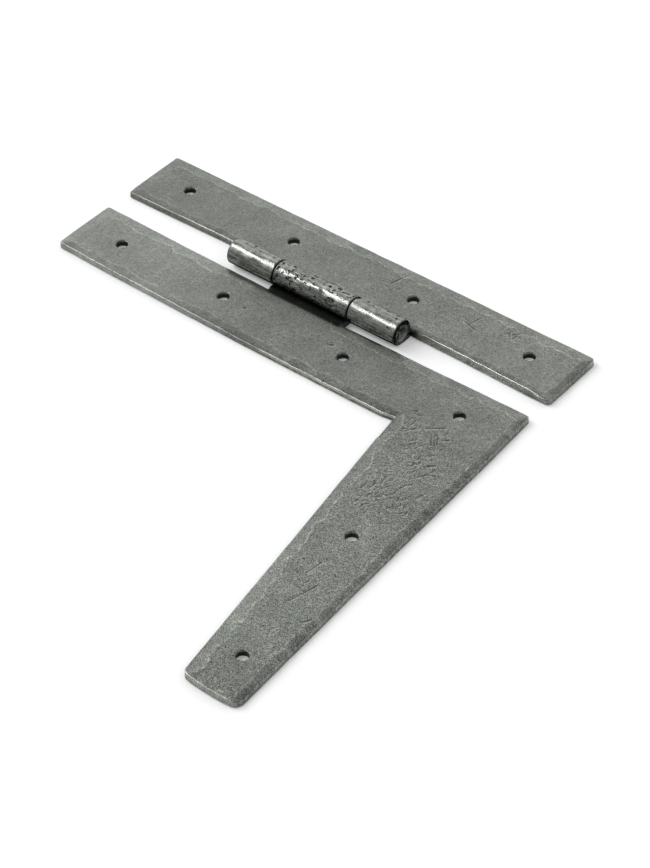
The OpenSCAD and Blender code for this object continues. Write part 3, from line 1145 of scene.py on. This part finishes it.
def pin_material(finish):
    """Hammered pin steel: dark, with bright beaten spots, and a lower part painted paler as a reflection of
    the floor.
    """
    material, tree, shader, spot = start_steel("beaten_steel")
    beaten = grain(tree, spot, 1.6, detail=3, rough=0.6, seed=1.0)
    streaks = grain(tree, spot, 0.7, stretch=(1, 0.7, 4), turn=(0.5, 0, 0), detail=3, rough=0.6, seed=5.0)
    _, across, height = axes(tree, spot)
    # Painted reflection of the floor, paler low down on the heads.
    low = minus(tree, times(tree, across, 0.6 / MM), times(tree, height, 0.8 / MM))
    pale_floor_reflection = map_range(tree, low, -6.5, -1.5, -0.1, 0.3)
    spots = map_range(tree, beaten, 0.46, 0.66, 0.0, 0.4)
    tone = plus(tree, spots, map_range(tree, streaks, 0.48, 0.64, 0.0, 0.6))
    tone = math_node(tree, "MINIMUM", plus(tree, times(tree, tone, 0.8), pale_floor_reflection), 1.0)
    color = blend_color(tree, tone, PIN_BLACK, finish.knuckle_light)
    tree.links.new(color, shader.inputs["Base Color"])
    tree.links.new(map_range(tree, beaten, 0.3, 0.7, 0.30, 0.5), shader.inputs["Roughness"])
    add_bump(tree, shader, ((beaten, 0.3), (streaks, 0.12)))
    return material


def black_material(finish):
    """Steel painted black inside and at the ends of the knuckles, as fire scale with painted shade, and paler
    at its foot as a painted reflection of the floor.
    """
    material, tree, shader, spot = start_steel("black_steel")
    scale = grain(tree, spot, 0.9, detail=4, rough=0.7, seed=8.0)
    color = blend_color(tree, map_range(tree, scale, 0.45, 0.75), SCALE_AND_SHADE_BLACK, finish.pit_and_shade)
    _, across, height = axes(tree, spot)
    # Painted reflection of the floor at the foot of the end faces.
    foot_floor_reflection = map_range(tree, plus(tree, height, times(tree, across, -0.5)), 0.001, 0.0065, 1.0, 0.0)
    foot_floor_reflection = times(tree, foot_floor_reflection, map_range(tree, scale, 0.35, 0.65, 0.4, 1.0))
    color = blend_color(tree, foot_floor_reflection, color, finish.patina_dark)
    tree.links.new(color, shader.inputs["Base Color"])
    # Darkened reflections, part of the painted shade.
    shader.inputs["Specular Tint"].default_value = (0.1, 0.1, 0.1, 1.0)
    tree.links.new(map_range(tree, scale, 0.3, 0.7, 0.42, 0.6), shader.inputs["Roughness"])
    add_bump(tree, shader, ((scale, 0.12),))
    return material


def shared_material(name, maker, finish):
    """The material of that name, made on first use."""
    return bpy.data.materials.get(name) or maker(finish)


def leaf_materials(finish):
    """A leaf's materials, in the order of its faces' indices."""
    return [
        shared_material("patina_steel", patina_material, finish),
        shared_material("knuckle_steel", knuckle_material, finish),
        shared_material("black_steel", black_material, finish),
    ]


# Operators


class HINGE_OT_h_leaf(bpy.types.Operator):
    """Make the straight leaf with its two rolled outer knuckles"""

    bl_idname = "hinge.h_leaf"
    bl_label = "Straight leaf"

    def execute(self, context):
        sizes = context.scene.hinge_sizes
        finish = context.scene.hinge_finish
        step = mm(sizes.mesh_step)
        bm = bmesh.new()
        xs = places(edge_stops(LEAF_LEFT, LEAF_RIGHT, sum(H_KNUCKLES, ())), step)
        ys = places(edge_stops(0.0, H_GRID_DEPTH), step)
        verts = plan_grid(bm, xs, ys)
        for corner, radii in H_CORNERS:
            round_corner(verts, corner, radii)
        for v in verts:
            part = v.co.y / H_GRID_DEPTH
            near = along(H_NEAR, v.co.x)
            bow_left_end(v, part)
            v.co.y = near + (H_FAR - near) * part
        strokes = H_STROKES + tuple(heaped_strokes(H_HEAPS))
        close_leaf(bm, sizes, H_HOLES, H_KNUCKLES, -1, H_FINE, strokes)
        finish_mesh(bm, "straight_leaf", leaf_materials(finish), "h_side", ["h_leaf"])
        return {"FINISHED"}


class HINGE_OT_l_leaf(bpy.types.Operator):
    """Make the leaf with the long splayed arm and its rolled centre knuckle"""

    bl_idname = "hinge.l_leaf"
    bl_label = "Armed leaf"

    def execute(self, context):
        sizes = context.scene.hinge_sizes
        finish = context.scene.hinge_finish
        step = mm(sizes.mesh_step)
        reach = ARM_ROOT_Y - ARM_TIP_Y
        grid_width = L_RIGHT_NEAR - NOTCH_X
        bm = bmesh.new()
        arm_stops = edge_stops(NOTCH_X, L_RIGHT_NEAR)
        xs = places(edge_stops(LEAF_LEFT, NOTCH_X, sum(L_KNUCKLES, ()))[:-1] + arm_stops, step)
        ys = places(edge_stops(-L_GRID_DEPTH, 0.0), step)
        strip = plan_grid(bm, xs, ys)
        for corner, radii in L_CORNERS:
            round_corner(strip, corner, radii)
        for v in strip:
            part = -v.co.y / L_GRID_DEPTH
            near = along(L_NEAR, v.co.x)
            if v.co.x > NOTCH_X:
                side = L_RIGHT_NEAR + (ARM_RIGHT_ROOT - L_RIGHT_NEAR) * part
                v.co.x = NOTCH_X + (v.co.x - NOTCH_X) * (side - NOTCH_X) / grid_width
            bow_left_end(v, part)
            v.co.y = near + (along(L_FAR, v.co.x) - near) * part
        arm_xs = places(arm_stops, step)
        arm_ys = places([ARM_TIP_Y + row for row in EDGE_ROWS] + [ARM_ROOT_Y - 3.4, ARM_ROOT_Y], step)
        arm = plan_grid(bm, arm_xs, arm_ys)
        narrow = (ARM_TIP_RIGHT - ARM_TIP_LEFT) / grid_width
        for corner, radii in ARM_CORNERS:
            round_corner(arm, corner, (radii[0] / narrow, radii[1]))
        for v in arm:
            down = (ARM_ROOT_Y - v.co.y) / reach
            part = (v.co.x - NOTCH_X) / grid_width
            left = NOTCH_X + (ARM_TIP_LEFT - NOTCH_X) * down
            right = ARM_RIGHT_ROOT + (ARM_TIP_RIGHT - ARM_RIGHT_ROOT) * down
            v.co.x = left + (right - left) * part
            v.co.y -= TIP_BOW * 4 * part * (1 - part) * (1 - smooth(0, 40, v.co.y - ARM_TIP_Y))
        bmesh.ops.remove_doubles(bm, verts=bm.verts[:], dist=MERGE_DISTANCE)
        strokes = ARM_STROKES + L_STROKES + tuple(heaped_strokes(ARM_HEAPS))
        close_leaf(bm, sizes, L_HOLES + ARM_HOLES, L_KNUCKLES, 1, ARM_FINE + L_FINE, strokes)
        finish_mesh(bm, "armed_leaf", leaf_materials(finish), "l_side", ["l_leaf"])
        return {"FINISHED"}


class HINGE_OT_pin(bpy.types.Operator):
    """Make the pin with both ends hammered over"""

    bl_idname = "hinge.pin"
    bl_label = "Riveted pin"

    def execute(self, context):
        sizes = context.scene.hinge_sizes
        finish = context.scene.hinge_finish
        head = mm(sizes.head_radius)
        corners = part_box("hinge_pin")
        low = corners[0][0] / MM
        high = corners[1][0] / MM
        outline = head_outline(low, 1, head) + head_outline(high, -1, head)[::-1]
        bm = bmesh.new()
        line = [bm.verts.new((x, 0.0, PIN_Z + radius)) for x, radius in outline]
        edges = [bm.edges.new(pair) for pair in zip(line, line[1:])]
        bmesh.ops.spin(
            bm,
            geom=line + edges,
            cent=(0, 0, PIN_Z),
            axis=(1, 0, 0),
            angle=math.tau,
            steps=PIN_STEPS,
            use_merge=True,
        )
        bmesh.ops.remove_doubles(bm, verts=bm.verts[:], dist=MERGE_DISTANCE)
        for v in bm.verts:
            beat_head(v, low, high)
        material = shared_material("beaten_steel", pin_material, finish)
        finish_mesh(bm, "riveted_pin", [material], "h_side", ["hinge_pin"])
        return {"FINISHED"}


class HINGE_OT_stage(bpy.types.Operator):
    """Set up the floor, the studio light and the camera"""

    bl_idname = "hinge.stage"
    bl_label = "Stage"

    def execute(self, context):
        stage = context.scene.hinge_stage
        self.make_floor(stage)
        self.make_sky(context.scene, stage)
        self.make_lamps(stage)
        self.make_camera(context.scene, stage)
        context.scene.view_settings.view_transform = "Standard"
        return {"FINISHED"}

    def make_floor(self, stage):
        bm = bmesh.new()
        bmesh.ops.create_grid(bm, x_segments=8, y_segments=8, size=FLOOR_HALF)
        mesh = bpy.data.meshes.new("paper_floor")
        bm.to_mesh(mesh)
        bm.free()
        material = bpy.data.materials.new("paper")
        material.use_nodes = True
        tree = material.node_tree
        tree.nodes.clear()
        out = add(tree, "ShaderNodeOutputMaterial")
        paper = add(tree, "ShaderNodeBsdfDiffuse", {"Color": (*stage.floor_color, 1.0)})
        glow = add(tree, "ShaderNodeEmission", {"Color": (1.0, 1.0, 1.0, 1.0)})
        path = add(tree, "ShaderNodeLightPath")
        seen = math_node(tree, "MAXIMUM", path.outputs["Is Camera Ray"], path.outputs["Is Glossy Ray"])
        seen = math_node(tree, "MAXIMUM", seen, path.outputs["Is Transmission Ray"])
        tree.links.new(times(tree, seen, FLOOR_GLOW), glow.inputs["Strength"])
        both = add(tree, "ShaderNodeAddShader")
        tree.links.new(paper.outputs[0], both.inputs[0])
        tree.links.new(glow.outputs[0], both.inputs[1])
        tree.links.new(both.outputs[0], out.inputs["Surface"])
        mesh.materials.append(material)
        floor = bpy.data.objects.new("paper_floor", mesh)
        bpy.context.scene.collection.objects.link(floor)
        floor.location.z = FLOOR_Z

    def make_sky(self, scene, stage):
        world = bpy.data.worlds.new("studio")
        scene.world = world
        world.use_nodes = True
        tree = world.node_tree
        tree.nodes.clear()
        out = add(tree, "ShaderNodeOutputWorld")
        light = add(tree, "ShaderNodeBackground")
        coords = add(tree, "ShaderNodeTexCoord")
        towards = add(tree, "ShaderNodeVectorMath", {1: (0.15, -0.95, -0.25)}, operation="DOT_PRODUCT")
        tree.links.new(coords.outputs["Generated"], towards.inputs[0])
        front = map_range(tree, towards.outputs["Value"], 0.0, 0.45)
        height = map_range(tree, axes(tree, coords.outputs["Generated"])["Z"], 0.30, 0.92, 1.45, 0.38)
        color = blend_color(tree, front, grey(tree, height), (0.42, 0.42, 0.42))
        tree.links.new(color, light.inputs["Color"])
        light.inputs["Strength"].default_value = stage.sky
        tree.links.new(light.outputs[0], out.inputs["Surface"])

    def make_lamps(self, stage):
        self.make_lamp("strip", STRIP_SIZE, stage.key, stage, Vector(STRIP_DIRECTION))
        self.make_lamp("side", SIDE_SIZE, stage.side, stage, Vector(SIDE_DIRECTION))

    def make_lamp(self, name, size, power, stage, direction):
        lamp = bpy.data.lights.new(name, "AREA")
        lamp.shape = "RECTANGLE"
        lamp.size = size[0]
        lamp.size_y = size[1]
        lamp.energy = power
        holder = bpy.data.objects.new(name, lamp)
        bpy.context.scene.collection.objects.link(holder)
        direction.normalize()
        place = Vector(stage.aim) + direction * LAMP_DISTANCE
        turn = direction.to_track_quat("Z", "Y").to_matrix().to_4x4()
        holder.matrix_world = Matrix.Translation(place) @ turn

    def make_camera(self, scene, stage):
        data = bpy.data.cameras.new("camera")
        data.lens = stage.lens
        data.sensor_width = SENSOR_WIDTH
        data.clip_end = FAR_CLIP
        camera = bpy.data.objects.new("camera", data)
        scene.collection.objects.link(camera)
        across = math.cos(stage.elevation)
        back = Vector(
            (across * math.sin(stage.azimuth), -across * math.cos(stage.azimuth), math.sin(stage.elevation))
        )
        right = Vector((0, 0, 1)).cross(back).normalized()
        up = back.cross(right)
        turn = Matrix((right, up, back)).transposed().to_4x4()
        place = Vector(stage.aim) + back * stage.distance
        camera.matrix_world = Matrix.Translation(place) @ turn @ Matrix.Rotation(stage.roll, 4, "Z")
        scene.camera = camera


class HINGE_PT_panel(bpy.types.Panel):
    """Lists the hinge's pieces"""

    bl_idname = "HINGE_PT_panel"
    bl_label = "Forged H-L hinge"
    bl_space_type = "VIEW_3D"
    bl_region_type = "UI"
    bl_category = "Hinge"

    def draw(self, context):
        layout = self.layout
        for operator in PIECES:
            layout.operator(operator.bl_idname)
        for group in (context.scene.hinge_sizes, context.scene.hinge_finish, context.scene.hinge_stage):
            box = layout.box()
            for name in group.bl_rna.properties.keys():
                if name not in ("rna_type", "name"):
                    box.prop(group, name)


GROUPS = (HingeSizes, HingeFinish, HingeStage)
PIECES = (HINGE_OT_h_leaf, HINGE_OT_l_leaf, HINGE_OT_pin, HINGE_OT_stage)


def register():
    for cls in GROUPS + PIECES + (HINGE_PT_panel,):
        bpy.utils.register_class(cls)
    bpy.types.Scene.hinge_sizes = bpy.props.PointerProperty(type=HingeSizes)
    bpy.types.Scene.hinge_finish = bpy.props.PointerProperty(type=HingeFinish)
    bpy.types.Scene.hinge_stage = bpy.props.PointerProperty(type=HingeStage)


def unregister():
    del bpy.types.Scene.hinge_stage
    del bpy.types.Scene.hinge_finish
    del bpy.types.Scene.hinge_sizes
    for cls in reversed(GROUPS + PIECES + (HINGE_PT_panel,)):
        bpy.utils.unregister_class(cls)


def main():
    register()
    bpy.ops.hinge.h_leaf()
    bpy.ops.hinge.l_leaf()
    bpy.ops.hinge.pin()
    bpy.ops.hinge.stage()
    bpy.context.view_layer.update()


if __name__ == "__main__":
    main()
